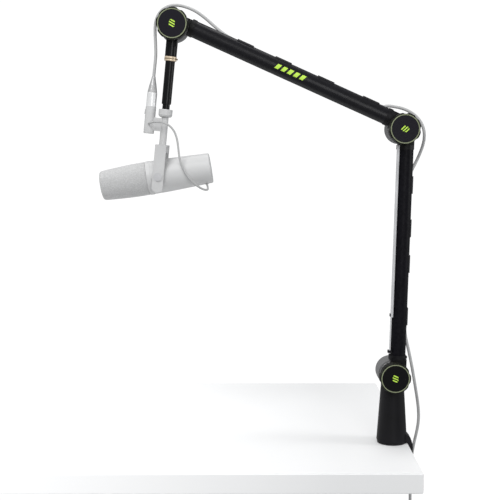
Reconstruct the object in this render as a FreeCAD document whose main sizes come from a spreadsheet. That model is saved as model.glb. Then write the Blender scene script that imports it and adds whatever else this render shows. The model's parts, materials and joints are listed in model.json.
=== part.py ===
"""A desk boom arm that carries a broadcast microphone in a yoke, with its lead.

Frame: millimetres, +Z up, the desk top is Z = 0, the arm reaches towards -X and
its tilting joints turn about Y.  The origin is the middle of the seat pad, where
the base rests on the desk.
"""
import FreeCAD, Part

import math
import os
import re

import Sketcher

App = FreeCAD
V = App.Vector
X_AXIS, Y_AXIS, Z_AXIS = V(1, 0, 0), V(0, 1, 0), V(0, 0, 1)

DIMENSIONS = {
    # arm
    "arm_length": 419.5, "lower_lean": 1.32, "upper_rise": 24.05, "drop_lean": 5.8,
    "base_pivot_height": 120, "tube_radius": 14.1, "upper_tube_offset": 8.8,
    "lower_tube_offset": 6.7, "bore_radius": 9.3,
    "bore_drop": 2.4, "channel_width": 6, "channel_depth": 5.6, "tube_start": 34,
    "collar_radius": 15, "collar_start": 26.6, "spigot_length": 24, "spigot_gap": 0.05,
    "clip_length": 29.5, "clip_radius": 15.6, "clip_gap": 0.05,
    # joints
    "drum_radius": 25, "drum_front": 4, "drum_back": 38, "ear_radius": 22, "ear_back": 5.5,
    "ear_front": 22, "bolt_radius": 4, "bolt_hole_radius": 4.1, "washer_radius": 22.4,
    "knob_radius": 26.5, "knob_back": 22.3, "knob_front": 38, "knob_notch_radius": 9,
    "knob_notch_depth": 1.8, "ring_outer": 24.1, "ring_inner": 22.5, "ring_depth": 1,
    "cap_depth": 1.6, "joint_gap": 0.3,
    # base and clamp
    "pad_thick": 1.5, "pad_radius": 25, "cone_bottom_radius": 26.2, "cone_top_radius": 20.2,
    "cone_top": 96.7, "bush_outer": 10, "spigot_radius": 8, "spigot_bottom": 20,
    "turret_bottom": 97.5, "throat_x": 27.8, "spine_thick": 7.6, "clamp_width": 24,
    "arch_top": 16, "jaw_top": -51, "jaw_thick": 8, "screw_radius": 5, "desk_thick": 33,
    "press_pad_radius": 16, "press_pad_thick": 8, "hand_knob_radius": 17,
    # drop tube and yoke
    "sleeve_radius": 9.85, "sleeve_end": 50.9, "swivel_ring_radius": 10.3, "ring_end": 58.5,
    "drop_radius": 8, "drop_end": 130.2, "neck_radius": 6.2, "stud_radius": 4.75,
    "nut_top": 138.6, "nut_end": 152, "nut_radius": 11.6, "stem_radius": 6,
    "yoke_top": 198.3, "yoke_bar_end": 210.6, "yoke_width": 18.6, "yoke_inner": 29.6,
    "yoke_arm_thick": 4, "mic_pivot": 251.5, "yoke_tail": 16.3,
    # microphone connector on the yoke
    "socket_offset": 25.2, "socket_radius": 8.75, "socket_start": 136.8, "socket_end": 180.6,
    "plug_radius": 8.4, "plug_start": 112.8, "boot_start": 86.5, "boot_tip_radius": 3.3,
    # microphone
    "mic_tilt": 9.4, "shell_radius": 28, "shell_rear_radius": 25.3, "shell_wall": 2,
    "shell_start": -12, "shell_end": 86, "band_radius": 28.5, "band_start": -20,
    "screen_front": -99.5, "screen_front_radius": 24, "basket_radius": 22,
    "pivot_pin_radius": 4, "pivot_bush_radius": 7,
    # leads
    "lead_diameter": 5.2, "mic_lead_diameter": 3.4, "upper_cable_height": 20.2,
    "lower_cable_height": 18.1,
}

doc = App.newDocument("BoomArmMicrophone")
sheet = doc.addObject("Spreadsheet::Sheet", "dims")
for row, (alias, value) in enumerate(DIMENSIONS.items(), start=1):
    sheet.set(f"A{row}", alias)
    sheet.set(f"B{row}", str(value))
    sheet.setAlias(f"B{row}", alias)
doc.recompute()

nodes = []


def size(alias):
    """The number that a sheet cell holds."""
    return float(sheet.get(alias))


def bound(text):
    """An expression in which each name is a cell of the sheet."""
    return re.sub(r"[a-z]\w*", lambda found: f"dims.{found.group(0)}", str(text))


def bind(feature, **sizes):
    for name, text in sizes.items():
        feature.setExpression(name, bound(text))
    return feature


def turn(axis, degrees):
    return App.Placement(V(0, 0, 0), App.Rotation(axis, degrees))


def move(x, y, z):
    return App.Placement(V(x, y, z), App.Rotation())


# how a solid whose own axis is Z is turned to lie along a frame's axis
ALONG = {
    "x": turn(Y_AXIS, 90), "-x": turn(Y_AXIS, -90),
    "y": turn(X_AXIS, -90), "-y": turn(X_AXIS, 90),
    "z": turn(X_AXIS, 0), "-z": turn(X_AXIS, 180),
}


def link_frame(origin, elevation):
    """A frame whose X runs at that elevation in the XZ plane and whose Y is towards -Y."""
    return move(*origin) * turn(Y_AXIS, -elevation) * turn(X_AXIS, 180)


ROW = App.Placement()
BASE = V(0, 0, size("base_pivot_height"))
lower_arm_frame = link_frame(BASE, 90 - size("lower_lean"))
ELBOW = lower_arm_frame * V(size("arm_length"), 0, 0)
upper_arm_frame = link_frame(ELBOW, 180 - size("upper_rise"))
HEAD = upper_arm_frame * V(size("arm_length"), 0, 0)
drop_frame = link_frame(HEAD, 270 - size("drop_lean"))
MIC = drop_frame * V(size("mic_pivot"), 0, 0)
mic_frame = link_frame(MIC, size("mic_tilt"))
turret_frame = link_frame(BASE, 90)


# ---------------------------------------------------------------- building blocks
def stick(frame, at, along, radius, length):
    """A cylinder from that point of the frame, along one of its axes."""
    part = bind(doc.addObject("Part::Cylinder", "stick"), Radius=radius, Height=length)
    part.Placement = frame * move(*at) * ALONG[along]
    return part


def taper(frame, at, along, radius, end_radius, length):
    part = doc.addObject("Part::Cone", "taper")
    bind(part, Radius1=radius, Radius2=end_radius, Height=length)
    part.Placement = frame * move(*at) * ALONG[along]
    return part


def block(frame, low, length, width, height):
    """A box with its lowest corner at that point of the frame."""
    part = bind(doc.addObject("Part::Box", "block"), Length=length, Width=width, Height=height)
    part.Placement = frame * move(*low)
    return part


def fused(*parts):
    if len(parts) == 1:
        return parts[0]
    whole = doc.addObject("Part::MultiFuse", "fused")
    whole.Shapes = list(parts)
    return whole


def carved(base, *tools):
    rest = doc.addObject("Part::Cut", "carved")
    rest.Base = base
    rest.Tool = fused(*tools)
    return rest


def shared(one, other):
    both = doc.addObject("Part::Common", "shared")
    both.Base = one
    both.Tool = other
    return both


def group(*parts):
    kit = doc.addObject("Part::Compound", "group")
    kit.Links = list(parts)
    return kit


def node(label, part):
    part.Label = label
    nodes.append(part)
    return part


def plane_of(body, role):
    return next(f for f in body.Origin.OriginFeatures if f.Role == role)


def outline(body, role, corners):
    """A closed sketch of straight lines on an origin plane; each corner is two expressions."""
    sketch = body.newObject("Sketcher::SketchObject", "outline")
    sketch.AttachmentSupport = [(plane_of(body, role), "")]
    sketch.MapMode = "FlatFace"
    rough = [V(10 + 40 * math.cos(k), 10 + 40 * math.sin(k), 0)
             for k in (2 * math.pi * n / len(corners) for n in range(len(corners)))]
    for n, start in enumerate(rough):
        sketch.addGeometry(Part.LineSegment(start, rough[(n + 1) % len(rough)]), False)
    for n in range(len(rough)):
        following = (n + 1) % len(rough)
        sketch.addConstraint(Sketcher.Constraint("Coincident", n, 2, following, 1))
    for n, corner in enumerate(corners):
        for kind, text in zip(("DistanceX", "DistanceY"), corner):
            value = rough[n].x if kind == "DistanceX" else rough[n].y
            index = sketch.addConstraint(Sketcher.Constraint(kind, -1, 1, n, 1, value))
            sketch.setExpression(f"Constraints[{index}]", bound(text))
    return sketch


def turned(label, frame, at, along, corners):
    """A lathe-turned body; each corner of its profile is (radius, height along the axis)."""
    body = doc.addObject("PartDesign::Body", "turned")
    sketch = outline(body, "XZ_Plane", corners)
    spin = body.newObject("PartDesign::Revolution", "spin")
    spin.Profile = sketch
    spin.ReferenceAxis = (sketch, ["V_Axis"])
    spin.Angle = 360
    body.Placement = frame * move(*at) * ALONG[along]
    return node(label, body) if label else body


def tube_ring(label, frame, at, along, inner, outer, low, high, edge="0.4"):
    """A turned ring with its outer edges broken."""
    return turned(label, frame, at, along, [
        (inner, low), (f"{outer} - {edge}", low), (outer, f"{low} + {edge}"),
        (outer, f"{high} - {edge}"), (f"{outer} - {edge}", high), (inner, high)])


# ---------------------------------------------------------------- clamp and base
def base_cone():
    body = turned(None, ROW, (0, 0, 0), "z", [
        ("bush_outer", "16"), ("bush_outer", "cone_top"),
        ("cone_top_radius - 0.8", "cone_top"), ("cone_top_radius", "cone_top - 0.8"),
        ("cone_bottom_radius", "6"), ("cone_bottom_radius - 0.4", "3.4"),
        ("cone_bottom_radius - 1.6", "pad_thick"), ("0", "pad_thick"), ("0", "16")])
    half = size("clamp_width") / 2
    slot = block(ROW, (-19.2, -half - 0.1, 0), "19.2 + cone_bottom_radius", "clamp_width + 0.2",
                 "10.2")
    arch_slot = block(ROW, (20, -half - 0.1, 0), "10", "clamp_width + 0.2", "arch_top + 0.3")
    screws = [stick(ROW, (x, 0, 9), "z", "2.5", "15") for x in (-14.5, 14.5)]
    node("base_cone", carved(body, slot, arch_slot, *screws))


def clamp_bracket():
    """One bent bar: a tongue under the cone, an arch over the desk edge, a spine and a jaw."""
    body = doc.addObject("PartDesign::Body", "bracket")
    outer = "throat_x + spine_thick"
    sketch = outline(body, "XZ_Plane", [
        ("-19", "pad_thick"), ("-19", "10"), ("20.2", "10"), ("20.2", "arch_top - 1.5"),
        ("21.8", "arch_top"), ("24.5", "arch_top - 0.3"), ("28.5", "arch_top - 2.6"),
        ("31.2", "arch_top - 6"), ("33", "arch_top - 11"), (f"{outer} - 0.8", "-1"),
        (outer, "-8"), (outer, "jaw_top + 6"), (f"{outer} - 1.5", "jaw_top - 6"),
        (f"{outer} - 7", "jaw_top - jaw_thick"), ("-14", "jaw_top - jaw_thick"),
        ("-17", "jaw_top - jaw_thick + 3"), ("-17", "jaw_top"), ("throat_x - 5", "jaw_top"),
        ("throat_x", "jaw_top + 5"), ("throat_x", "-3"), ("throat_x - 3", "pad_thick")])
    pad = body.newObject("PartDesign::Pad", "bar")
    pad.Profile = sketch
    pad.Midplane = True
    bind(pad, Length="clamp_width")
    bore = stick(ROW, (0, 0, size("jaw_top") - size("jaw_thick") - 1), "z", "screw_radius + 0.05",
                 "jaw_thick + 2")
    holes = [stick(ROW, (x, 0, 0), "z", "2.6", "12") for x in (-14.5, 14.5)]
    heads = [stick(ROW, (x, 0, 0), "z", "4.6", "5") for x in (-14.5, 14.5)]
    node("clamp_bracket", carved(body, bore, *holes, *heads))


def clamp_small_parts():
    node("seat_pad", carved(
        turned(None, ROW, (0, 0, 0), "z", [
            ("0", "0"), ("pad_radius", "0"), ("pad_radius", "pad_thick"), ("0", "pad_thick")]),
        *[stick(ROW, (x, 0, -1), "z", "4.7", "4") for x in (-14.5, 14.5)]))
    screws = []
    for x in (-14.5, 14.5):
        head = carved(stick(ROW, (x, 0, 1.7), "z", "4.4", "3.3"),
                      stick(ROW, (x, 0, 1.6), "z", "1.6", "2"))
        screws.append(fused(head, stick(ROW, (x, 0, 5), "z", "2.45", "18.5")))
    node("bracket_screws", group(*screws))
    turned("socket_bush", ROW, (0, 0, 0), "z", [
        ("spigot_radius + 0.05", "18"), ("bush_outer - 0.02", "18"),
        ("bush_outer - 0.02", "cone_top"), ("cone_top_radius - 1.2", "cone_top"),
        ("cone_top_radius - 1.2", "turret_bottom - 0.1"),
        ("spigot_radius + 0.05", "turret_bottom - 0.1")])


def clamp_press():
    """The pressure pad on the ball end of the clamp screw, and the screw's hand knob."""
    top = -size("desk_thick")
    disc = turned(None, ROW, (0, 0, top), "z", [
        ("0", "-1.5"), ("press_pad_radius", "-1.5"), ("press_pad_radius", "-3.5"),
        ("press_pad_radius - 5", "-press_pad_thick + 1"), ("8", "-press_pad_thick"),
        ("5.3", "-press_pad_thick"), ("5.3", "-4"), ("0", "-4")])
    rubber = tube_ring(None, ROW, (0, 0, top), "z", "0", "press_pad_radius", "-1.5", "0",
                       edge="0.3")
    node("press_pad", group(disc, rubber))
    turned("clamp_screw", ROW, (0, 0, top), "z", [
        ("0", "-4.3"), ("3.6", "-4.3"), ("screw_radius", "-5.7"), ("screw_radius", "-44"),
        ("4", "-45"), ("4", "-53"), ("0", "-53")])
    body = turned(None, ROW, (0, 0, top), "z", [
        ("4", "-37"), ("9", "-37"), ("10", "-37.8"), ("11", "-39"),
        ("hand_knob_radius - 2", "-40"), ("hand_knob_radius", "-42"),
        ("hand_knob_radius", "-52"), ("hand_knob_radius - 2", "-54"), ("0", "-54"),
        ("0", "-53"), ("4", "-53")])
    bore = stick(ROW, (0, 0, top - 53), "z", "screw_radius", "17")
    flutes = []
    for n in range(6):
        angle = math.radians(60 * n)
        reach = size("hand_knob_radius") + 3.5
        flutes.append(stick(ROW, (reach * math.cos(angle), reach * math.sin(angle), top - 55),
                            "z", "5.5", "16"))
    node("clamp_hand_knob", carved(body, bore, *flutes))


# ---------------------------------------------------------------- joints
def drum(frame, at):
    """The half of a joint that the bolt's head is in, behind the arm's plane."""
    x, z = at
    solid = stick(frame, (x, -size("drum_back"), z), "y", "drum_radius",
                  "drum_back + drum_front - joint_gap")
    hole = stick(frame, (x, -size("drum_back"), z), "y", "bolt_hole_radius", "60")
    cap_seat = stick(frame, (x, -size("drum_back") - 1, z), "y", "ear_radius + 0.05",
                     "cap_depth + 1")
    head_seat = stick(frame, (x, -size("drum_back"), z), "y", "8", "9")
    rim = [carved(stick(frame, (x, y, z), "y", "drum_radius + 1", "0.9"),
                  stick(frame, (x, y - 0.5, z), "y", "drum_radius - 0.7", "2"))
           for y in (-size("drum_back") - 0.2, size("drum_front") - size("joint_gap") - 0.7)]
    return solid, [hole, cap_seat, head_seat, *rim]


def ear(frame):
    """The half of a joint that the knob presses on, in front of the arm's plane."""
    solid = stick(frame, (0, size("ear_back"), 0), "y", "ear_radius", "ear_front - ear_back")
    hole = stick(frame, (0, 0, 0), "y", "bolt_hole_radius", "40")
    return solid, hole


def joint_hardware(prefix, frame, at):
    """Bolt, rear cap, friction washer and friction knob of one joint."""
    x, z = at
    place = (x, 0, z)
    back = -size("drum_back")
    head = stick(frame, (x, back + 3.3, z), "y", "7", "5.6")
    shank = stick(frame, (x, back + 8, z), "y", "bolt_radius", "drum_back + knob_front - 13")
    rear_cap = tube_ring(None, frame, place, "y", "0", "ear_radius", "-drum_back",
                         "-drum_back + cap_depth", edge="0.5")
    node(f"{prefix}_bolt_and_cap", group(fused(head, shank), rear_cap))
    washer = tube_ring(None, frame, place, "y", "bolt_hole_radius", "washer_radius",
                       "drum_front", "ear_back - 0.2", edge="0.3")
    slots = []
    for n in range(12):
        angle = math.radians(30 * n)
        away = size("washer_radius")
        slots.append(stick(frame, (x + away * math.cos(angle), 0, z + away * math.sin(angle)),
                           "y", "1.3", "10"))
    node(f"{prefix}_washer", carved(washer, *slots))
    insert = tube_ring(None, frame, place, "y", "bolt_radius + 0.05", "7", "knob_back + 0.5",
                       "knob_front - 3.4")
    node(f"{prefix}_knob", group(knob(frame, place), insert))
    ring = tube_ring(None, frame, place, "y", "ring_inner", "ring_outer",
                     "knob_front - ring_depth", "knob_front", edge="0.25")
    cap = tube_ring(None, frame, place, "y", "0", "ring_inner - 0.05", "knob_front - 2.5",
                    "knob_front - 0.5", edge="0.2")
    node(f"{prefix}_knob_face", group(ring, cap))


def knob(frame, place):
    """A scalloped knob: turned, then eight shallow flutes cut round its rim."""
    body = turned(None, frame, place, "y", [
        ("7", "knob_back"), ("knob_radius - 3.5", "knob_back"), ("knob_radius", "knob_back + 2"),
        ("knob_radius", "knob_front - 2"), ("knob_radius - 0.6", "knob_front - 0.7"),
        ("knob_radius - 1.6", "knob_front"), ("ring_outer", "knob_front"),
        ("ring_outer", "knob_front - ring_depth"), ("ring_inner", "knob_front - ring_depth"),
        ("ring_inner", "knob_front - 2.5"), ("0", "knob_front - 2.5"),
        ("0", "knob_front - 3.4"), ("7", "knob_front - 3.4")])
    sketch = body.newObject("Sketcher::SketchObject", "flute")
    sketch.AttachmentSupport = [(plane_of(body, "XY_Plane"), "")]
    sketch.MapMode = "FlatFace"
    sketch.addGeometry(Part.Circle(V(33, 14, 0), Z_AXIS, 9), False)
    away = "knob_radius + knob_notch_radius - knob_notch_depth"
    for kind, value, text in (("DistanceX", 33, f"({away}) * 0.9239"),
                              ("DistanceY", 14, f"({away}) * 0.3827")):
        index = sketch.addConstraint(Sketcher.Constraint(kind, -1, 1, 0, 3, value))
        sketch.setExpression(f"Constraints[{index}]", bound(text))
    index = sketch.addConstraint(Sketcher.Constraint("Radius", 0, 9))
    sketch.setExpression(f"Constraints[{index}]", bound("knob_notch_radius"))
    doc.recompute()
    before = body.Shape.Volume
    flute = body.newObject("PartDesign::Pocket", "flute_cut")
    flute.Profile = sketch
    flute.Type = 1
    flute.Reversed = True
    ring = body.newObject("PartDesign::PolarPattern", "flutes")
    ring.Originals = [flute]
    ring.Axis = (sketch, ["N_Axis"])
    ring.Angle = 360
    ring.Occurrences = 8
    body.Tip = ring
    doc.recompute()
    if not 0.9 * before < body.Shape.Volume < before - 8:
        raise ValueError(f"knob: the flutes cut {before - body.Shape.Volume:.1f} mm3")
    return body


# ---------------------------------------------------------------- arms
def arm_tube(label, frame, offset):
    start, end = size("tube_start"), size("arm_length") - size("tube_start")
    run = f"{end - start}"
    outer = stick(frame, (start, 0, offset), "x", "tube_radius", run)
    bore = stick(frame, (start - 1, 0, offset - size("bore_drop")), "x", "bore_radius",
                 f"{end - start + 2}")
    channel = block(frame, (start - 1, -size("channel_width") / 2,
                            offset + size("tube_radius") - size("channel_depth")),
                    f"{end - start + 2}", "channel_width", "channel_depth + 3")
    node(label, carved(outer, bore, channel))


def collar(frame, near, outward, offset):
    """The round end of a fitting: a collar outside the tube and a spigot inside it."""
    ring = stick(frame, (near, 0, offset), outward, "collar_radius", "tube_start - collar_start")
    reach = near + (1 if outward == "x" else -1) * (size("tube_start") - size("collar_start"))
    spigot = stick(frame, (reach, 0, offset - size("bore_drop")), outward,
                   "bore_radius - spigot_gap", "spigot_length")
    return ring, spigot


def arm_foot(label, frame, offset):
    """The fitting at an arm's near end, with the ear."""
    disc, hole = ear(frame)
    ring, spigot = collar(frame, size("collar_start"), "x", offset)
    web = block(frame, (0, size("ear_back"), -5.2), "collar_start + 2", "8.3", "26.5")
    drum_room = stick(frame, (0, -45, 0), "y", "drum_radius + 1.2", f"45 + {size('ear_back')}")
    node(label, carved(fused(disc, web, ring, spigot), hole, drum_room))


def arm_head(label, frame, offset):
    """The fitting at an arm's far end, with the drum."""
    length = size("arm_length")
    disc, cuts = drum(frame, (length, 0))
    ring, spigot = collar(frame, length - size("collar_start"), "-x", offset)
    front = size("drum_front") - size("joint_gap")
    web = block(frame, (length - size("collar_start") - 1, -13.5, -5.2), "collar_start - 4",
                f"{13.5 + front}", "26.5")
    room = stick(frame, (length, front, 0), "y", "drum_radius + 1.2", "30")
    node(label, carved(fused(disc, web, ring, spigot), room, *cuts))


def cable_clips(label, frame, offset, starts):
    clips = []
    for start in starts:
        shell = carved(stick(frame, (start, 0, offset), "x", "clip_radius", "clip_length"),
                       stick(frame, (start - 1, 0, offset), "x", "tube_radius + clip_gap",
                             "clip_length + 2"))
        cover = block(frame, (start - 1, -8.6, offset), "clip_length + 2", "17.2", "20")
        clips.append(shared(shell, cover))
    node(label, group(*clips))


def side_rod():
    """The slim rod beside the lower arm, its two holders and the collar's screw."""
    frame, offset = lower_arm_frame, size("lower_tube_offset")
    thick = stick(frame, (101, 11.4, -6.7), "x", "2.5", "291")
    thin = stick(frame, (38, 11.4, -8), "x", "1.35", "64")
    node("side_rod", fused(thick, thin))
    holders = []
    for x, height, radius in ((102, -6.7, "2.55"), (39, -8, "1.4")):
        clip = block(frame, (x, 5.5, height - 3.3), "4.5", "7.5", "6.6")
        tube_room = stick(frame, (x - 1, 0, offset), "x", "tube_radius + 0.05", "7")
        holders.append(carved(clip, tube_room, stick(frame, (x - 1, 11.4, height), "x", radius,
                                                     "7")))
    outer = offset + size("collar_radius")
    screw = carved(stick(frame, (29.9, 0, outer + 0.05), "z", "2.5", "1.8"),
                   stick(frame, (29.9, 0, outer + 0.9), "z", "1.3", "2"))
    node("lower_arm_fixings", group(*holders, screw))


# ---------------------------------------------------------------- turret
def turret():
    disc, cuts = drum(turret_frame, (0, 0))
    front = size("drum_front") - size("joint_gap")
    bottom = size("turret_bottom") - size("base_pivot_height")
    neck = shared(stick(turret_frame, (bottom, 0, 0), "x", "cone_top_radius - 0.3", "18"),
                  block(turret_frame, (bottom, -30, -30), "18", f"{30 + front}", "60"))
    spigot = stick(turret_frame, (size("spigot_bottom") - size("base_pivot_height"), 0, 0), "x",
                   "spigot_radius", "turret_bottom - spigot_bottom + 10")
    room = stick(turret_frame, (0, front, 0), "y", "drum_radius", "30")
    below = carved(block(turret_frame, (bottom - 6, -40, -40), "6", "80", "80"),
                   stick(turret_frame, (bottom - 7, 0, 0), "x", "spigot_radius", "8"))
    node("turret", carved(fused(disc, neck, spigot), room, below, *cuts))


# ---------------------------------------------------------------- drop and yoke
def head_sleeve():
    disc, hole = ear(drop_frame)
    barrel = stick(drop_frame, (26.4, 0, 0), "x", "sleeve_radius", "sleeve_end - 26.4")
    web = block(drop_frame, (0, size("ear_back"), -9), "34", "4", "18")
    bore = stick(drop_frame, (36, 0, 0), "x", "6.05", "20")
    web_round = stick(drop_frame, (24, 0, 0), "x", "sleeve_radius", "10")
    drum_room = stick(drop_frame, (0, -45, 0), "y", "drum_radius + 1.2",
                      f"45 + {size('ear_back')}")
    solid = carved(fused(disc, barrel, web, web_round), hole, bore, drum_room)
    node("head_sleeve", solid)


def swivel_ring():
    ring = tube_ring(None, drop_frame, (0, 0, 0), "x", "6.05", "swivel_ring_radius",
                     "sleeve_end", "ring_end - 0.2", edge="0.5")
    screw = stick(drop_frame, (54.7, 0, -size("swivel_ring_radius") - 0.05), "-z", "1.4", "1.9")
    node("swivel_ring", group(ring, screw))


def drop_tube():
    turned("drop_tube", drop_frame, (0, 0, 0), "x", [
        ("0", "37"), ("6", "37"), ("6", "ring_end"), ("drop_radius - 0.4", "ring_end"),
        ("drop_radius", "ring_end + 0.4"), ("drop_radius", "drop_end - 0.8"),
        ("drop_radius - 0.8", "drop_end"), ("neck_radius", "drop_end"),
        ("neck_radius", "nut_top - 0.3"), ("stud_radius", "nut_top - 0.3"),
        ("stud_radius", "nut_end + 17"), ("0", "nut_end + 17")])
    turned("lock_nut", drop_frame, (0, 0, 0), "x", [
        ("stud_radius + 0.05", "nut_top"), ("nut_radius - 0.8", "nut_top"),
        ("nut_radius", "nut_top + 0.8"), ("nut_radius", "nut_end - 4"),
        ("nut_radius - 1", "nut_end - 1.6"), ("nut_radius - 3", "nut_end - 0.2"),
        ("stud_radius + 0.05", "nut_end - 0.2")])


def yoke():
    """Stem, cross bar and two arms that hold the microphone at its sides."""
    frame = drop_frame
    half, inner = size("yoke_width") / 2, size("yoke_inner")
    arm = size("yoke_arm_thick")
    top, pivot = size("yoke_top"), size("mic_pivot")
    stem = stick(frame, (size("nut_end"), 0, 0), "x", "stem_radius", "yoke_top - nut_end + 2")
    thread = stick(frame, (size("nut_end") - 1, 0, 0), "x", "stud_radius + 0.05", "19")
    bar = block(frame, (top, -inner - arm, -half), "yoke_bar_end - yoke_top",
                "(yoke_inner + yoke_arm_thick) * 2", "yoke_width")
    arms = []
    for side in (-inner - arm, inner):
        leg = block(frame, (top, side, -half), "mic_pivot - yoke_top + yoke_tail",
                    "yoke_arm_thick", "yoke_width")
        end = stick(frame, (pivot + size("yoke_tail"), side, 0), "y", "yoke_width / 2",
                    "yoke_arm_thick")
        arms += [leg, end]
    pin_holes = stick(frame, (pivot, -40, 0), "y", "pivot_pin_radius", "80")
    node("yoke", carved(fused(stem, bar, *arms), thread, pin_holes))
    pins = []
    for along, side in (("y", 1), ("-y", -1)):
        pin = stick(frame, (pivot, side * 22, 0), along, "pivot_pin_radius", "12.6")
        head = stick(frame, (pivot, side * (inner + arm), 0), along, "7", "1.6")
        pins.append(fused(pin, head))
    node("pivot_pins", group(*pins))


def microphone_socket():
    """The connector housing on the yoke's stem, its contacts and its latch button."""
    frame, offset = drop_frame, size("socket_offset")
    start = size("socket_start")
    tube = stick(frame, (start, 0, offset), "x", "socket_radius", "socket_end - socket_start")
    tip = taper(frame, (size("socket_end"), 0, offset), "x", "socket_radius",
                "socket_radius - 1", "1")
    bridge = block(frame, (154, -5, 4), "22", "10", "socket_offset - 6")
    bore = stick(frame, (start - 1, 0, offset), "x", "7.6", "26")
    stem_room = stick(frame, (150, 0, 0), "x", "stem_radius + 0.05", "30")
    wire_room = stick(frame, (start + 20, 0, offset), "x", "5.5", "20")
    latch_room = block(frame, (start + 5, -2.1, offset + 6), "8.2", "4.2", "4")
    node("socket_housing", carved(fused(tube, tip, bridge), bore, stem_room, wire_room,
                                  latch_room))
    button = block(frame, (start + 5.1, -2, offset + 7.7), "8", "4", "1.9")
    node("latch_button", button)
    plate = stick(frame, (start + 21.5, 0, offset), "x", "7.55", "3.4")
    contacts = []
    for n in range(3):
        angle = math.radians(120 * n)
        y, z = 3.6 * math.cos(angle), 3.6 * math.sin(angle)
        contacts.append(stick(frame, (start + 11, y, offset + z), "x", "1.2", "14"))
    node("socket_contacts", group(carved(plate, *contacts), *[
        stick(frame, (start + 11, 3.6 * math.cos(math.radians(120 * n)),
                      offset + 3.6 * math.sin(math.radians(120 * n))), "x", "1.15", "14")
        for n in range(3)]))


def lead_plug(label, frame, at, along, nose):
    """A lead's plug: metal barrel with its nose in the socket, and a tapered boot."""
    barrel = turned(None, frame, at, along, [
        ("0", "0"), ("plug_radius - 0.5", "0"), ("plug_radius", "0.6"), ("plug_radius", "23.3"),
        ("plug_radius - 0.5", "24"), ("7.55", "24"), ("7.55", f"24 + {nose}"),
        ("6.4", f"24 + {nose}"), ("6.4", "26"), ("0", "26")])
    boot = turned(None, frame, at, along, [
        ("0", "0"), ("plug_radius - 0.4", "0"), ("plug_radius - 0.9", "-3.5"),
        ("plug_radius - 2.2", "-11"), ("boot_tip_radius + 0.5", "-22"),
        ("boot_tip_radius - 0.2", "-26.3"), ("0", "-26.3")])
    node(label, group(barrel, boot))


# ---------------------------------------------------------------- microphone
def microphone():
    frame, here = mic_frame, (0, 0, 0)
    shell = turned(None, frame, here, "x", [
        ("shell_radius - shell_wall", "shell_start"), ("shell_radius", "shell_start"),
        ("shell_radius", "14"), ("shell_rear_radius", "shell_end"),
        ("shell_rear_radius - shell_wall", "shell_end"),
        ("shell_radius - shell_wall", "14")])
    holes = stick(frame, (0, -40, 0), "y", "pivot_bush_radius", "80")
    gland_hole = stick(frame, (77, 6, 18), "z", "3", "12")
    node("mic_shell", carved(shell, holes, gland_hole))
    turned("mic_rear_cap", frame, here, "x", [
        ("0", "shell_end - 4"), ("shell_rear_radius - shell_wall - 0.2", "shell_end - 4"),
        ("shell_rear_radius - shell_wall - 0.2", "shell_end"), ("shell_rear_radius", "shell_end"),
        ("shell_rear_radius - 0.3", "shell_end + 1.1"),
        ("shell_rear_radius - 1.4", "shell_end + 2"), ("0", "shell_end + 2")])
    turned("mic_band", frame, here, "x", [
        ("basket_radius + 0.05", "band_start"), ("band_radius - 0.6", "band_start"),
        ("band_radius", "band_start + 0.6"), ("band_radius", "shell_start - 0.6"),
        ("band_radius - 0.5", "shell_start"), ("shell_radius - shell_wall - 0.1", "shell_start"),
        ("shell_radius - shell_wall - 0.1", "shell_start + 4"), ("23.5", "shell_start + 4"),
        ("basket_radius + 0.05", "shell_start + 3")])
    turned("mic_windscreen", frame, here, "x", [
        ("basket_radius + 0.1", "band_start"), ("shell_radius", "band_start"),
        ("shell_radius", "-34"), ("screen_front_radius + 1.4", "-88"),
        ("screen_front_radius + 0.4", "-96.4"), ("screen_front_radius - 1.8", "screen_front + 0.6"),
        ("screen_front_radius - 7", "screen_front"), ("0", "screen_front"),
        ("0", "screen_front + 6"), ("screen_front_radius - 7", "screen_front + 6"),
        ("basket_radius - 3", "-88"), ("basket_radius + 0.1", "-80")])
    turned("mic_grille", frame, here, "x", [
        ("basket_radius - 1", "shell_start + 3"), ("basket_radius", "shell_start + 3"),
        ("basket_radius", "-79.6"), ("basket_radius - 3.4", "-87.6"),
        ("screen_front_radius - 7.6", "-93"), ("0", "-93"), ("0", "-92"),
        ("screen_front_radius - 8", "-92"), ("basket_radius - 4.2", "-87"),
        ("basket_radius - 1", "-79.2")])
    node("capsule", group(
        tube_ring(None, frame, here, "x", "0", "14", "-80", "-62"),
        tube_ring(None, frame, here, "x", "14.02", "basket_radius - 1.02", "-76", "-68")))
    node("mic_chassis", block(frame, (-26, -11, 8), "108", "22", "2"))
    posts = [stick(frame, (x, y, 5.1), "z", "2", "2.9") for x in (20, 70) for y in (-8, 8)]
    node("amplifier_board", group(block(frame, (16, -15, 3.5), "58", "30", "1.6"), *posts))
    bushes = []
    for along in ("y", "-y"):
        bushes.append(turned(None, frame, here, along, [
            ("pivot_pin_radius + 0.05", "21.5"), ("pivot_bush_radius - 0.02", "21.5"),
            ("pivot_bush_radius - 0.02", "27"), ("pivot_bush_radius - 0.5", "27.4"),
            ("pivot_pin_radius + 0.05", "27.4")]))
    node("pivot_bushes", group(*bushes))
    turned("lead_gland", frame, (77, 6, 0), "z", [
        ("0", "20.5"), ("2.98", "20.5"), ("2.98", "25.3"), ("2.2", "26.3"), ("0", "26.3")])


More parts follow.
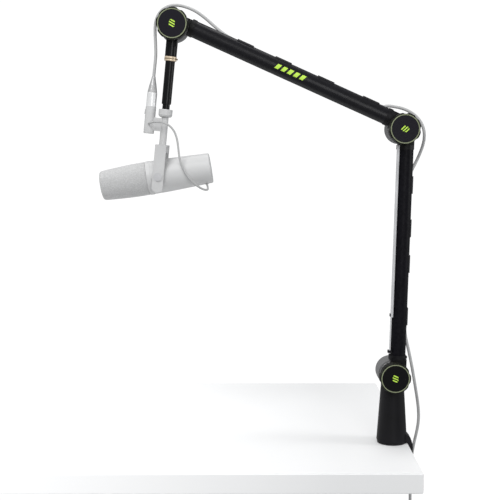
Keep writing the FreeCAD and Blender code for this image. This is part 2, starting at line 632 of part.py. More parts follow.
# ---------------------------------------------------------------- leads
def lead(label, points, diameter):
    """A round lead: straight runs joined by tangent arcs, as large as the runs allow."""
    points = [V(*p) for p in points]
    edges, radii, start = [], [], points[0]
    for before, here, after in zip(points, points[1:], points[2:]):
        incoming, outgoing = (here - before), (after - here)
        shorter = min(incoming.Length, outgoing.Length)
        half_turn = incoming.getAngle(outgoing) / 2
        trim = 0.45 * shorter
        radius = trim / math.tan(half_turn)
        first = here - incoming * (trim / incoming.Length)
        last = here + outgoing * (trim / outgoing.Length)
        inward = ((first + last) * 0.5 - here)
        middle = here + inward * ((radius / math.cos(half_turn) - radius) / inward.Length)
        edges.append(Part.LineSegment(start, first).toShape())
        edges.append(Part.Arc(first, middle, last).toShape())
        radii.append(radius)
        start = last
    edges.append(Part.LineSegment(start, points[-1]).toShape())
    path = Part.Wire(edges)
    ring = Part.Wire(Part.Circle(points[0], points[1] - points[0], diameter / 2).toShape())
    tube = path.makePipeShell([ring], True, False)
    expected = math.pi * diameter ** 2 / 4 * path.Length
    if abs(tube.Volume - expected) > 0.02 * expected:
        raise ValueError(f"{label}: volume {tube.Volume:.0f}, and {expected:.0f} expected")
    print(f"{label}: {path.Length:.1f} mm long, radii",
          " ".join(f"{r:.0f}" for r in radii))
    feature = doc.addObject("Part::Feature", "lead")
    feature.Shape = tube
    node(label, feature)
    return path.Length


BOOT_TIP = drop_frame * V(size("boot_start"), 0, size("socket_offset"))
HEAD_LOOP_LOWER = [
    (BOOT_TIP.x, 0, BOOT_TIP.z), (-405, 0, 646), (-403, 0, 666), (-403.8, 0, 684)]
HEAD_LOOP_UPPER = [
    (-403.8, 0, 684), (-404.6, 0, 702), (-403.3, 0, 718.5), (-396.9, 0, 732.1),
    (-385.3, 0, 741.4), (-370.7, 0, 744.8), (-355.2, 0, 742.3), (-338.6, 0, 735.8),
    (-324, 0, 726), (-309.8, 0, 713.6), (-296.4, 0, 702), (-284.5, 0, 693.6)]
ELBOW_LOOP = [
    (-14.4, 0, 578.6), (-1.2, 0, 576.6), (9.4, 0, 574.2), (19, 0, 570.6), (30.3, 0, 563.8), (40.4, 0, 553.3),
    (46.6, 0, 540), (48, 0, 525.4), (45.1, 0, 510.8), (39.6, 0, 496.2), (33.1, 0, 481.9),
    (28, 0, 472.2)]
TAIL_UPPER = [
    (22.4, 0.3, 181), (27.6, 1.4, 160), (34, 3.4, 132), (38.6, 6, 108)]
TAIL_LOWER = [
    (38.6, 6, 108), (43.2, 8.6, 84), (47.4, 12, 60), (49.4, 15, 37), (46.9, 17.8, 14),
    (42.4, 20, -8), (38.9, 21.2, -32), (37.3, 21.6, -58), (37.1, 21.3, -86),
    (37.7, 21.1, -114), (37.7, 21.6, -142), (37.7, 21.6, -168)]
MIC_LEAD = [
    (-411.5, -16.5, 550.2), (-403, -19.5, 551.6), (-391.5, -20.5, 551), (-380.5, -21.5, 545.8),
    (-372, -23.5, 536.6), (-366.8, -27, 523), (-364.6, -30.5, 505.5), (-362.5, -33.5, 487.5),
    (-356, -35, 471), (-347, -34.5, 457.5), (-337, -30.5, 447.5), (-328, -22.5, 441.8),
    (-321, -14, 439)]


def on_arm(frame, prefix, along):
    """A point on the middle of the straight lead in that arm's channel."""
    at = frame * V(along, 0, size(f"{prefix}_cable_height"))
    return at.x, at.y, at.z


def of_frame(frame, x, y, z):
    at = frame * V(x, y, z)
    return at.x, at.y, at.z


def straight_lead(prefix, frame, start, end):
    node(f"{prefix}_cable_run", stick(frame, (start, 0, size(f"{prefix}_cable_height")), "x",
                                      "lead_diameter / 2", f"{end - start}"))
    return end - start


def leads():
    thick, lower, upper = size("lead_diameter"), lower_arm_frame, upper_arm_frame
    total = lead("head_loop_lower", HEAD_LOOP_LOWER, thick)
    total += lead("head_loop_upper", HEAD_LOOP_UPPER
                  + [on_arm(upper, "upper", 320), on_arm(upper, "upper", 313.5)], thick)
    total += straight_lead("upper", upper, 52, 313.5)
    total += lead("elbow_loop", [on_arm(upper, "upper", 52), on_arm(upper, "upper", 46)]
                  + ELBOW_LOOP + [on_arm(lower, "lower", 348), on_arm(lower, "lower", 342)],
                  thick)
    total += straight_lead("lower", lower, 85, 342)
    total += lead("tail_upper", [on_arm(lower, "lower", 85), on_arm(lower, "lower", 76)]
                  + TAIL_UPPER, thick)
    total += lead("tail_lower", TAIL_LOWER, thick)
    print(f"whole lead: {total:.0f} mm")
    offset, radius = size("socket_offset"), size("socket_radius")
    lead("mic_lead", [of_frame(drop_frame, 165.5, radius + 0.02, offset),
                      of_frame(drop_frame, 165.5, radius + 5.5, offset)] + MIC_LEAD
         + [of_frame(mic_frame, 77, 6, 33.5), of_frame(mic_frame, 77, 6, 26.35)],
         size("mic_lead_diameter"))


# ---------------------------------------------------------------- the whole model
CLIPS = {"upper": (53, 136, 214, 283), "lower": (86.5, 177, 238, 311.5)}


def build():
    base_cone()
    clamp_bracket()
    clamp_small_parts()
    clamp_press()
    turret()
    for prefix, frame in (("lower", lower_arm_frame), ("upper", upper_arm_frame)):
        offset = size(f"{prefix}_tube_offset")
        arm_foot(f"{prefix}_arm_foot", frame, offset)
        arm_tube(f"{prefix}_arm_tube", frame, offset)
        arm_head(f"{prefix}_arm_head", frame, offset)
        cable_clips(f"{prefix}_cable_clips", frame, offset, CLIPS[prefix])
    joint_hardware("base", lower_arm_frame, (0, 0))
    joint_hardware("elbow", upper_arm_frame, (0, 0))
    joint_hardware("head", drop_frame, (0, 0))
    side_rod()
    head_sleeve()
    swivel_ring()
    drop_tube()
    yoke()
    microphone_socket()
    lead_plug("mic_plug", drop_frame, (size("plug_start"), 0, size("socket_offset")), "x", 4)
    lead_plug("end_plug", ROW, (37.7, 21.6, -168 - 26.3), "-z", 17)
    microphone()
    leads()


def export():
    doc.recompute()
    for feature in doc.Objects:
        if "Invalid" in feature.State or "Error" in feature.State:
            raise ValueError(f"{feature.Name} ({feature.Label}) failed: {feature.State}")
    os.makedirs("parts", exist_ok=True)
    for feature in nodes:
        shape = feature.Shape
        if shape.isNull() or not shape.isValid() or not shape.Solids:
            raise ValueError(f"{feature.Label} is null, not valid or has no solid")
        shape.exportStep(f"parts/{feature.Label}.step")
        box = shape.BoundBox
        print(f"{feature.Label:20s} {len(shape.Solids)} solids {shape.Volume / 1000:8.2f} cm3",
              f"x {box.XMin:.1f}..{box.XMax:.1f} y {box.YMin:.1f}..{box.YMax:.1f}",
              f"z {box.ZMin:.1f}..{box.ZMax:.1f}")
    print(len(nodes), "nodes")


build()
export()
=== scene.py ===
"""Looks for a boom arm microphone: a clamped base, two jointed arms and a yoke-mounted microphone.

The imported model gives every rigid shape. This script adds the soft lead, the foam windscreen, the
printed marks and the fine trim, and gives every surface a procedural material."""
import json
import math

import bmesh
import bpy
from mathutils import Matrix, Vector


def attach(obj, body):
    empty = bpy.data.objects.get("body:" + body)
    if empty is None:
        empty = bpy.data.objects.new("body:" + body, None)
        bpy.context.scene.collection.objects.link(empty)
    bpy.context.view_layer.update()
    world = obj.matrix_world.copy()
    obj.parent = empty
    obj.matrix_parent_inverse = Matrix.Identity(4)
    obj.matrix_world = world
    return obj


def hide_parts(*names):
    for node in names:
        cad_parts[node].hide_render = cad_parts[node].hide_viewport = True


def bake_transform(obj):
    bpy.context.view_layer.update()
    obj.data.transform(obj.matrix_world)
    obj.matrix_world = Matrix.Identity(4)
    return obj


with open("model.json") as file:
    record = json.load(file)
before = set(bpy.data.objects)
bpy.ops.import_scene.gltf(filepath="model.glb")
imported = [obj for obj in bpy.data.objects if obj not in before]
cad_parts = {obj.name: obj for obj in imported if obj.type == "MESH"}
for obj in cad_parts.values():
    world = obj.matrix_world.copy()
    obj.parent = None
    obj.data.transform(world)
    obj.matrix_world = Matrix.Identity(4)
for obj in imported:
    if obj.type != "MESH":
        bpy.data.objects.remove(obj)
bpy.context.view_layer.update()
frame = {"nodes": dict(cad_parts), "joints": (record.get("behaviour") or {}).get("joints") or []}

MM = 0.001
WHITE = (1, 1, 1, 1)
LIME = (0.52, 0.80, 0.09, 1)
DARK_CAP = (0.0068, 0.0060, 0.0105, 1)
BASE_CAP = (0.0015, 0.0015, 0.002, 1)
OLIVE = (0.235, 0.262, 0.165, 1)
CHAMPAGNE = (0.66, 0.54, 0.39, 1)
GROOVE_BROWN = (0.20, 0.15, 0.09, 1)

MIC_ELEVATION = 9.4                 # degrees, at rest
SHARP_ANGLE = math.radians(38)      # edges sharper than this stay crisp
BARS_LEAN = 0.45                    # how far the printed bars slant
DRUM_RADIUS = 25.3 * MM             # just outside the turned drum of a joint
CAP_RADIUS = 22.4 * MM
MARK_RADIUS = 6.6 * MM
MIC_PLUG_BARREL = 112.8 * MM        # along the drop tube, where the barrel meets the boot
END_PLUG_BARREL = -194.3 * MM       # height, likewise
RING_GROOVE = (53.9 * MM, 55.5 * MM)


# ---------------------------------------------------------------- where things are
def link(origin, elevation):
    """A frame with X at that elevation in the XZ plane and Y towards the knobs."""
    c, s = math.cos(math.radians(elevation)), math.sin(math.radians(elevation))
    grid = Matrix(((c, 0, s), (0, -1, 0), (s, 0, -c))).to_4x4()
    grid.translation = origin
    return grid


def joint(name):
    return next(j for j in frame["joints"] if j["name"] == name)


def place(name):
    return Vector(joint(name)["pos_m"])


BASE, ELBOW, HEAD, MIC = (place(n) for n in ("base_tilt", "elbow_tilt", "head_tilt", "mic_tilt"))


def slope(start, end):
    return math.degrees(math.atan2(end.z - start.z, end.x - start.x))


TURRET = link(BASE, 90)
LOWER = link(BASE, slope(BASE, ELBOW))
UPPER = link(ELBOW, slope(ELBOW, HEAD))
DROP = link(HEAD, slope(HEAD, MIC))
MICROPHONE = link(MIC, MIC_ELEVATION)


# ---------------------------------------------------------------- materials
class Graph:
    """A material's node tree, with short names for the few nodes that the finishes use."""

    def __init__(self, name):
        self.mat = bpy.data.materials.new(name)
        self.mat.use_nodes = True
        self.tree = self.mat.node_tree
        self.shader = self.tree.nodes["Principled BSDF"]
        self.object = self.add("ShaderNodeTexCoord").outputs["Object"]

    def add(self, kind, inputs=None, **settings):
        made = self.tree.nodes.new(kind)
        for key, value in settings.items():
            setattr(made, key, value)
        for key, value in (inputs or {}).items():
            self.feed(made.inputs[key], value)
        return made

    def feed(self, socket, value):
        if isinstance(value, bpy.types.NodeSocket):
            self.tree.links.new(value, socket)
        else:
            socket.default_value = value

    def noise(self, scale, detail=3.0, stretch=(1, 1, 1)):
        moved = self.add("ShaderNodeMapping", {"Vector": self.object, "Scale": stretch})
        made = self.add("ShaderNodeTexNoise", {"Vector": moved.outputs[0], "Scale": scale,
                                               "Detail": detail, "Roughness": 0.55})
        return made.outputs[0]

    def cells(self, scale):
        made = self.add("ShaderNodeTexVoronoi", {"Vector": self.object, "Scale": scale})
        return made.outputs["Distance"]

    def span(self, value, low, high, out_low, out_high):
        made = self.add("ShaderNodeMapRange", {"Value": value, "From Min": low, "From Max": high,
                                               "To Min": out_low, "To Max": out_high})
        return made.outputs[0]

    def math(self, operation, a, b=0.0):
        made = self.add("ShaderNodeMath", operation=operation)
        self.feed(made.inputs[0], a)
        self.feed(made.inputs[1], b)
        return made.outputs[0]

    def mix(self, share, a, b):
        made = self.add("ShaderNodeMix", data_type="RGBA")
        for key, value in ((0, share), (6, a), (7, b)):
            self.feed(made.inputs[key], value)
        return made.outputs[2]

    def axes(self):
        return self.add("ShaderNodeSeparateXYZ", {0: self.object}).outputs

    def around(self, centre):
        """Distance from an axis through that point, along Y."""
        x, _, z = self.axes()
        across = self.math("POWER", self.math("SUBTRACT", x, centre.x), 2.0)
        down = self.math("POWER", self.math("SUBTRACT", z, centre.z), 2.0)
        return self.math("SQRT", self.math("ADD", across, down))

    def along(self, grid, axis):
        """The coordinate of the point along one axis of a frame."""
        direction = grid.to_3x3().col[axis]
        made = self.add("ShaderNodeVectorMath", {0: self.object, 1: direction},
                        operation="DOT_PRODUCT")
        return self.math("SUBTRACT", made.outputs["Value"], direction.dot(grid.translation))

    def inside(self, value, low, high):
        """1 where the value lies between the two, else 0."""
        return self.math("MULTIPLY", self.math("GREATER_THAN", value, low),
                         self.math("LESS_THAN", value, high))

    def both(self, *masks):
        whole = masks[0]
        for mask in masks[1:]:
            whole = self.math("MULTIPLY", whole, mask)
        return whole

    def stripes(self, grid, along, across, length, height, pitch, share):
        """Slanted bars that fill a length by height patch of a frame's XZ plane."""
        u = self.math("SUBTRACT", self.along(grid, 0), along)
        v = self.math("SUBTRACT", self.along(grid, 2), across)
        leaning = self.math("ADD", u, self.math("MULTIPLY", v, BARS_LEAN))
        start = self.math("ADD", leaning, length / 2)
        phase = self.math("FLOORED_MODULO", start, pitch)
        return self.both(self.inside(start, 0.0, length), self.inside(v, -height / 2, height / 2),
                         self.math("LESS_THAN", phase, pitch * share))

    def recolour(self, mask, colour):
        """Lays a second colour over the base colour where the mask is 1."""
        socket = self.shader.inputs["Base Color"]
        under = socket.links[0].from_socket
        cloudy = self.mix(self.span(self.noise(900), 0.3, 0.7, 0, 1),
                          tuple(c * 0.92 for c in colour[:3]) + (1,), colour)
        self.feed(socket, self.mix(mask, under, cloudy))

    def bump(self, height, strength, depth):
        made = self.add("ShaderNodeBump", {"Strength": strength, "Distance": depth,
                                           "Height": height})
        self.feed(self.shader.inputs["Normal"], made.outputs[0])

    def worn(self, share):
        """A mask that is 1 on worn outside edges."""
        edge = self.add("ShaderNodeNewGeometry").outputs["Pointiness"]
        sharp = self.span(edge, 0.53, 0.62, 0.0, share)
        return self.math("MULTIPLY", sharp, self.span(self.noise(240), 0.35, 0.7, 0.2, 1.0))


def grey(value, tint=(1, 1, 1)):
    return (value * tint[0], value * tint[1], value * tint[2], 1)


def finish(name, colour, rough, metal=0.0, spread=0.12, grain=1400.0, bump=0.12, depth=0.0001,
           level=0.5, coat=0.0, wear=0.0, wear_colour=None, drift=28.0, stretch=(1, 1, 1),
           rough_spread=0.06):
    """A moulded, coated or machined surface: cloudy colour, fine grain and worn edges."""
    g = Graph(name)
    dark = tuple(c * (1 - spread) for c in colour[:3]) + (1,)
    light = tuple(min(1, c * (1 + spread)) for c in colour[:3]) + (1,)
    fine = g.noise(grain, detail=4.0, stretch=stretch)
    tone = g.mix(g.span(g.noise(drift), 0.3, 0.7, 0, 1), dark, light)
    if wear:
        bare = tuple(min(1, c * 3 + 0.014) for c in colour[:3]) + (1,)
        tone = g.mix(g.worn(wear), tone, wear_colour or bare)
    g.feed(g.shader.inputs["Base Color"], tone)
    g.feed(g.shader.inputs["Roughness"], g.span(fine, 0.3, 0.7, max(0.02, rough - rough_spread),
                                                rough + rough_spread))
    g.shader.inputs["Metallic"].default_value = metal
    g.shader.inputs["Specular IOR Level"].default_value = level
    g.shader.inputs["Coat Weight"].default_value = coat
    g.bump(fine, bump, depth)
    return g


def dress(names, graph):
    """Gives the CAD nodes of those names that finish, and nothing else."""
    for name in names.split():
        data = frame["nodes"][name].data
        data.materials.clear()
        data.materials.append(graph.mat)


black_tube = finish("black_tube", grey(0.0025, (1.0, 0.92, 1.5)), 0.42, spread=0.2, level=0.07,
                    wear=0.25, bump=0.10)
black_cast = finish("black_cast", grey(0.0045, (1.0, 0.95, 1.22)), 0.50, spread=0.25, level=0.16,
                    grain=2200, bump=0.30, depth=0.00015, wear=0.35)
black_gloss = finish("black_gloss", grey(0.0025, (0.9, 0.9, 1.1)), 0.27, level=0.20, bump=0.05,
                     rough_spread=0.04, wear=0.2)
knob_black = finish("knob_black", grey(0.0050, (1.05, 1.15, 0.7)), 0.55, spread=0.3, level=0.14,
                    grain=2600, bump=0.35, depth=0.00015, wear=0.3)
rubber = finish("rubber", grey(0.016), 0.75, grain=1800, bump=0.3, level=0.3)
steel = finish("steel", grey(0.52), 0.30, metal=1.0, stretch=(1, 14, 1), grain=500, bump=0.10)
screw_steel = finish("screw_steel", grey(0.45), 0.34, metal=1.0, grain=900, bump=0.12)
pale_steel = finish("pale_steel", grey(0.50, (1, 1, 1.02)), 0.42, stretch=(20, 1, 20),
                    grain=400, bump=0.1)
yoke_paint = finish("yoke_paint", grey(0.525), 0.45, spread=0.05, grain=1600, bump=0.16, wear=0.2,
                    wear_colour=grey(0.7))
mic_paint = finish("mic_paint", grey(0.54), 0.46, spread=0.04, grain=1900, bump=0.18, wear=0.25,
                   wear_colour=grey(0.68), drift=18)
mic_dark = finish("mic_dark", grey(0.36), 0.5, spread=0.06, grain=1900, bump=0.2)
lead_grey = finish("lead_grey", grey(0.43), 0.55, spread=0.06, grain=1500, bump=0.18, level=0.4,
                   drift=60)
thin_lead = finish("thin_lead", grey(0.40), 0.55, spread=0.06, grain=1500, bump=0.18, level=0.4)
brass = finish("brass", (0.62, 0.45, 0.18, 1), 0.28, metal=1.0)
board = finish("board", (0.02, 0.16, 0.06, 1), 0.35, coat=0.3, drift=300)


def marked_tube():
    """The upper arm's tube, with five plain slanted bars printed on the knobs' side."""
    g = finish("marked_tube", grey(0.0028, (1.0, 0.93, 1.45)), 0.34, spread=0.2, level=0.22,
               wear=0.25, bump=0.10)
    bars = g.stripes(UPPER, 210.6 * MM, 8.8 * MM, 52 * MM, 8.5 * MM, 11.2 * MM, 0.62)
    g.recolour(g.both(bars, g.math("GREATER_THAN", g.along(UPPER, 1), 0.0)), LIME)
    return g


def knob_face(name, grid, cap):
    """A moulded cap inside an olive ring, with three lime bars on it."""
    g = finish(name, OLIVE, 0.5, spread=0.08, level=0.12, bump=0.15)
    away = g.around(grid.translation)
    g.recolour(g.math("LESS_THAN", away, CAP_RADIUS), cap)
    bars = g.stripes(grid, 0.0, 0.0, 11.4 * MM, 9.5 * MM, 4.3 * MM, 0.5)
    g.recolour(g.both(bars, g.math("LESS_THAN", away, MARK_RADIUS)), LIME)
    return g


def fitting(name, centre):
    """A cast fitting: black, with the turned drum of the joint left satin grey."""
    g = finish(name, grey(0.0032, (0.97, 0.97, 1.06)), 0.48, spread=0.25, level=0.2, grain=2200,
               bump=0.25, depth=0.00015)
    g.recolour(g.math("LESS_THAN", g.around(centre), DRUM_RADIUS), grey(0.17))
    return g


def plug_finish(name, grid, axis, edge, boot_side):
    """A bright turned barrel and a moulded grey boot, on the boot_side of the edge between them."""
    g = finish(name, grey(0.80), 0.34, metal=0.25, spread=0.05, grain=900, bump=0.08)
    there = g.along(grid, axis) if grid else g.axes()[axis]
    g.recolour(g.math(boot_side, there, edge), grey(0.44))
    return g


def ring_finish():
    """The swivel's champagne ring, with a dark groove round it."""
    g = finish("gold", CHAMPAGNE, 0.36, metal=0.35, spread=0.06, grain=900, bump=0.08)
    g.recolour(g.inside(g.along(DROP, 0), *RING_GROOVE), GROOVE_BROWN)
    return g


for names, look in (
        ("base_cone clamp_bracket lower_arm_foot upper_arm_foot", black_cast),
        ("lower_cable_clips upper_cable_clips lower_arm_fixings", black_cast),
        ("base_bolt_and_cap elbow_bolt_and_cap head_bolt_and_cap", black_cast),
        ("lower_arm_tube", black_tube),
        ("upper_arm_tube", marked_tube()),
        ("head_sleeve drop_tube", black_gloss),
        ("base_knob elbow_knob head_knob", knob_black),
        ("socket_bush clamp_hand_knob press_pad", knob_black),
        ("seat_pad", rubber),
        ("bracket_screws clamp_screw", screw_steel),
        ("mic_grille mic_chassis base_washer elbow_washer head_washer", steel),
        ("pivot_pins side_rod", pale_steel),
        ("yoke socket_housing lock_nut", yoke_paint),
        ("mic_shell mic_rear_cap mic_band", mic_paint),
        ("latch_button capsule pivot_bushes lead_gland", mic_dark),
        ("socket_contacts", brass),
        ("amplifier_board", board),
        ("upper_cable_run lower_cable_run", lead_grey),
        ("turret", fitting("turret_cast", BASE)),
        ("lower_arm_head", fitting("elbow_cast", ELBOW)),
        ("upper_arm_head", fitting("head_cast", HEAD)),
        ("base_knob_face", knob_face("base_face", TURRET, BASE_CAP)),
        ("elbow_knob_face", knob_face("elbow_face", UPPER, DARK_CAP)),
        ("head_knob_face", knob_face("head_face", DROP, DARK_CAP)),
        ("swivel_ring", ring_finish()),
        ("mic_plug", plug_finish("mic_plug_finish", DROP, 0, MIC_PLUG_BARREL, "LESS_THAN")),
        ("end_plug", plug_finish("end_plug_finish", None, 2, END_PLUG_BARREL, "GREATER_THAN"))):
    dress(names, look)


# ---------------------------------------------------------------- the lead
SPLINE_STEPS = 12
LEAD_DIAMETER = 5.2 * MM
MIC_LEAD_DIAMETER = 3.4 * MM


def spline_points(name, route):
    """Points read from the smooth NURBS line that follows the route, which is in mm."""
    data = bpy.data.curves.new(f"{name}_route", "CURVE")
    data.dimensions = "3D"
    data.resolution_u = SPLINE_STEPS
    line = data.splines.new("NURBS")
    line.points.add(len(route) - 1)
    for point, at in zip(line.points, route):
        point.co = (*(c * MM for c in at), 1)
    line.order_u = 3
    line.use_endpoint_u = True
    guide = bpy.data.objects.new(f"{name}_route", data)
    bpy.context.scene.collection.objects.link(guide)
    mesh = bpy.data.meshes.new_from_object(guide)
    points = [v.co.copy() for v in mesh.vertices]
    bpy.data.objects.remove(guide)
    bpy.data.meshes.remove(mesh)
    return points


def tube(name, points, radius, sides=20):
    """A closed tube swept along the points without twisting."""
    mesh = bmesh.new()
    rings = []
    side = None
    for i, at in enumerate(points):
        ahead = (points[min(i + 1, len(points) - 1)] - points[max(i - 1, 0)]).normalized()
        side = ahead.orthogonal() if side is None else side - ahead * side.dot(ahead)
        side.normalize()
        up = ahead.cross(side)
        rings.append([mesh.verts.new(at + (side * math.cos(a) + up * math.sin(a)) * radius)
                      for a in (math.tau * k / sides for k in range(sides))])
    for one, two in zip(rings, rings[1:]):
        for k in range(sides):
            n = (k + 1) % sides
            mesh.faces.new((one[k], one[n], two[n], two[k]))
    mesh.faces.new(list(reversed(rings[0])))
    mesh.faces.new(rings[-1])
    return made(name, mesh)


def made(name, mesh):
    """A smooth-shaded object in the scene from a bmesh, which is freed."""
    bmesh.ops.recalc_face_normals(mesh, faces=mesh.faces)
    data = bpy.data.meshes.new(name)
    mesh.to_mesh(data)
    mesh.free()
    obj = bpy.data.objects.new(name, data)
    bpy.context.scene.collection.objects.link(obj)
    data.shade_smooth()
    data.set_sharp_from_angle(angle=SHARP_ANGLE)
    return obj


LEAD_ROUTES = {
    # name: (body at its start, body at its end, the route's points where the blend starts and
    # ends, route in mm)
    "head_loop_lower": ("drop", "head", 0, -1, [
        (-407.23, 0, 626.84), (-405, 0, 646), (-403, 0, 666), (-403.8, 0, 684)]),
    "head_loop_upper": ("head", "upper_arm", 0, -1, [
        (-403.8, 0, 684), (-404.6, 0, 702), (-403.3, 0, 718.5), (-396.9, 0, 732.1),
        (-385.3, 0, 741.4), (-370.7, 0, 744.8), (-355.2, 0, 742.3), (-338.6, 0, 735.8),
        (-324, 0, 726), (-309.8, 0, 713.6), (-296.4, 0, 702), (-284.5, 0, 693.6),
        (-274.33, 0, 688.25), (-268.39, 0, 685.6)]),
    "elbow_loop": ("upper_arm", "lower_arm", 0, -1, [
        (-29.59, 0, 579.03), (-24.11, 0, 576.58), (-14.4, 0, 578.6), (-1.2, 0, 576.6),
        (9.4, 0, 574.2), (19, 0, 570.6), (30.3, 0, 563.8), (40.4, 0, 553.3), (46.6, 0, 540),
        (48, 0, 525.4), (45.1, 0, 510.8), (39.6, 0, 496.2), (33.1, 0, 481.9), (28, 0, 472.2),
        (26.11, 0, 467.49), (25.97, 0, 461.49)]),
    "tail_upper": ("lower_arm", "turret", 0, -1, [
        (20.05, 0, 204.56), (19.85, 0, 195.56), (22.4, 0.3, 181), (27.6, 1.4, 160),
        (34, 3.4, 132), (38.6, 6, 108)]),
    "tail_lower": ("turret", "clamp", 0, 4, [
        (38.6, 6, 108), (43.2, 8.6, 84), (47.4, 12, 60), (49.4, 15, 37), (46.9, 17.8, 14),
        (42.4, 20, -8), (38.9, 21.2, -32), (37.3, 21.6, -58), (37.1, 21.3, -86),
        (37.7, 21.1, -114), (37.7, 21.6, -142), (37.7, 21.6, -168)]),
}


def grey_lead():
    """The grey lead's pieces that cross a joint, each swept as a tube along its route in place of
    the imported piece.
    """
    for name, (one, two, start, end, route) in LEAD_ROUTES.items():
        points = spline_points(name, route)
        piece = tube(f"{name}_skin", points, LEAD_DIAMETER / 2)
        piece.data.materials.append(lead_grey.mat)
        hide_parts(name)
        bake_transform(piece)


MIC_LEAD = [
    (-415.22, -8.77, 548.24), (-415.22, -14.25, 548.24), (-411.5, -16.5, 550.2),
    (-403, -19.5, 551.6), (-391.5, -20.5, 551), (-380.5, -21.5, 545.8), (-372, -23.5, 536.6),
    (-366.8, -27, 523), (-364.6, -30.5, 505.5), (-362.5, -33.5, 487.5), (-356, -35, 471),
    (-347, -34.5, 457.5), (-337, -30.5, 447.3), (-328, -22.5, 440.9), (-320.4, -13.2, 437.4),
    (-315.9, -6.8, 438.8), (-318.57, -6, 446.72)]


def microphone_lead():
    """The thin lead from the socket's housing to the gland at the back of the microphone."""
    points = spline_points("mic_lead", MIC_LEAD)
    piece = tube("mic_lead_skin", points, MIC_LEAD_DIAMETER / 2, sides=16)
    piece.data.materials.append(thin_lead.mat)
    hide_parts("mic_lead")
    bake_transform(piece)


FOAM_TURNS = 160
FOAM_TIP, CAVITY_TIP = -99.7, -94       # mm along the microphone
FOAM_OUTER = (
    (-20.3, 27.6), (-21.2, 27.95), (-34, 28), (-48, 27.7), (-62, 27.1), (-76, 26.3), (-88, 25.4),
    (-94, 24.8), (-96.4, 24.4), (-98, 23.5), (-98.9, 22.2), (-99.4, 20), (-99.6, 14), (-99.7, 5))
FOAM_INNER = (
    (-94, 5), (-94, 12), (-93.4, 17), (-88, 19.2), (-80, 22.15), (-50, 22.15), (-20.3, 22.15))


def foam_finish():
    """Open-cell foam: pale walls round darker cells, matt, with a little sheen."""
    g = Graph("foam")
    cells = g.cells(620)
    coarse = g.noise(260, detail=5)
    tone = g.mix(g.span(cells, 0.05, 0.75, 0, 1), grey(0.36), grey(0.53))
    tone = g.mix(g.span(g.noise(40), 0.3, 0.7, 0, 0.35), tone, grey(0.50))
    g.feed(g.shader.inputs["Base Color"], tone)
    g.feed(g.shader.inputs["Roughness"], g.span(coarse, 0.3, 0.7, 0.82, 0.97))
    g.shader.inputs["Specular IOR Level"].default_value = 0.2
    g.shader.inputs["Sheen Weight"].default_value = 0.25
    g.bump(g.math("ADD", cells, coarse), 0.55, 0.0004)
    return g


def windscreen():
    """The foam sleeve over the capsule: a thick skin, turned about the microphone's axis."""
    def spot(x, r=0.0, turn=0.0):
        return mesh.verts.new(MICROPHONE @ (Vector((x, r * math.cos(turn), r * math.sin(turn)))
                                            * MM))

    mesh = bmesh.new()
    rings = [[spot(x, r, math.tau * k / FOAM_TURNS) for k in range(FOAM_TURNS)]
             for x, r in FOAM_OUTER + FOAM_INNER]
    tip, cavity_tip = spot(FOAM_TIP), spot(CAVITY_TIP)
    last = len(FOAM_OUTER) - 1
    for i, (one, two) in enumerate(zip(rings, rings[1:] + rings[:1])):
        for k in range(FOAM_TURNS):
            n = (k + 1) % FOAM_TURNS
            if i == last:
                mesh.faces.new((one[k], one[n], tip))
                mesh.faces.new((two[n], two[k], cavity_tip))
            else:
                mesh.faces.new((one[k], one[n], two[n], two[k]))
    piece = made("windscreen_foam", mesh)
    piece.data.materials.append(foam_finish().mat)
    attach(piece, "microphone")
    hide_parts("mic_windscreen")


grey_lead()
microphone_lead()
windscreen()


# ---------------------------------------------------------------- desk, light and camera
DESK_LOW, DESK_HIGH = (-1.6, -0.172, -0.0328), (0.0268, 0.43, -0.0002)
DESK_EDGE = 0.0012
# The desk's painted glow: it emits white light, strongest left of FADE_FROM and gone right of
# FADE_TO.
FADE_FROM, FADE_TO, PAINTED_GLOW = -0.62, -0.1, 0.30     # X, X, and the glow at the first of them

EYE, EYE_TILT, LENS, SENSOR = (-0.2461, -1.695, 0.5131), 84, 72, 36
BACKDROP_LEVEL, FILL_LEVEL = 1.05, 0.42
MIDDLE = (-0.2, 0, 0.4)


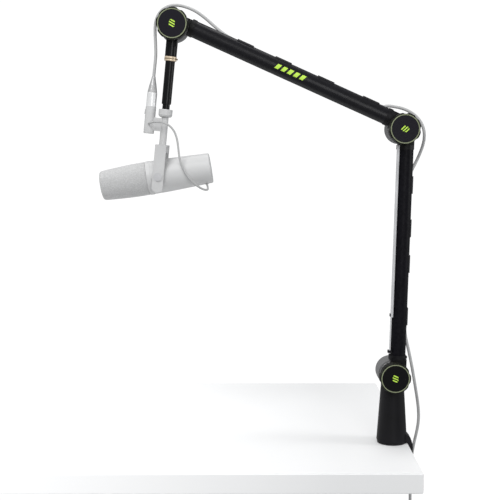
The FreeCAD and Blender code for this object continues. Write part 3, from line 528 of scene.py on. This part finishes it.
def slab():
    """The desk that the arm is clamped to. A painted glow, stronger to the left, makes it fade into
    the white background.
    """
    mesh = bmesh.new()
    bmesh.ops.create_cube(mesh, size=1)
    for vert in mesh.verts:
        vert.co = Vector(low + (c + 0.5) * (high - low)
                         for c, low, high in zip(vert.co, Vector(DESK_LOW), Vector(DESK_HIGH)))
    bmesh.ops.bevel(mesh, geom=mesh.edges[:], offset=DESK_EDGE, segments=3, affect="EDGES")
    desk = made("desk", mesh)
    g = finish("desk_white_painted_glow", grey(0.83), 0.6, spread=0.01, grain=900, bump=0.03, drift=4)
    # Painted glow: white emission that grows towards the desk's left end, though the desk is no
    # lamp.
    g.shader.inputs["Emission Color"].default_value = WHITE
    g.feed(g.shader.inputs["Emission Strength"],
           g.span(g.axes()[0], FADE_FROM, FADE_TO, PAINTED_GLOW, 0.0))
    desk.data.materials.append(g.mat)


def light(name, at, towards, wide, high, power):
    """A rectangular soft light that faces a point."""
    data = bpy.data.lights.new(name, "AREA")
    data.shape = "RECTANGLE"
    data.size, data.size_y, data.energy = wide, high, power
    lamp = bpy.data.objects.new(name, data)
    bpy.context.scene.collection.objects.link(lamp)
    lamp.location = at
    lamp.rotation_euler = (Vector(towards) - Vector(at)).to_track_quat("-Z", "Y").to_euler()


def studio():
    """Four soft lights, and a white background that lights the object less than it shows."""
    world = bpy.data.worlds.new("studio")
    bpy.context.scene.world = world
    world.use_nodes = True
    tree = world.node_tree
    tree.nodes.clear()
    seen, lit, mixed, out, ray = (tree.nodes.new(kind) for kind in (
        "ShaderNodeBackground", "ShaderNodeBackground", "ShaderNodeMixShader",
        "ShaderNodeOutputWorld", "ShaderNodeLightPath"))
    seen.inputs[0].default_value = WHITE
    seen.inputs[1].default_value = BACKDROP_LEVEL
    lit.inputs[0].default_value = (0.96, 0.98, 1, 1)
    lit.inputs[1].default_value = FILL_LEVEL
    tree.links.new(ray.outputs["Is Camera Ray"], mixed.inputs[0])
    tree.links.new(lit.outputs[0], mixed.inputs[1])
    tree.links.new(seen.outputs[0], mixed.inputs[2])
    tree.links.new(mixed.outputs[0], out.inputs[0])
    light("key", (-1.1, -1.6, 2.0), MIDDLE, 1.2, 0.9, 34)
    light("front", (0.3, -2.4, 0.8), MIDDLE, 0.8, 1.4, 14)
    light("side", (1.9, -0.3, 0.9), MIDDLE, 0.6, 1.6, 16)
    light("top", (-0.4, 0.5, 2.4), (-0.4, 0, 0), 1.6, 1.2, 22)
    bpy.context.scene.view_settings.view_transform = "Standard"


def camera():
    """Looks at the arm square on, from a little above."""
    data = bpy.data.cameras.new("camera")
    data.lens, data.sensor_width = LENS, SENSOR
    eye = bpy.data.objects.new("camera", data)
    bpy.context.scene.collection.objects.link(eye)
    eye.location = EYE
    eye.rotation_euler = (math.radians(EYE_TILT), 0, 0)
    bpy.context.scene.camera = eye


slab()
studio()
camera()
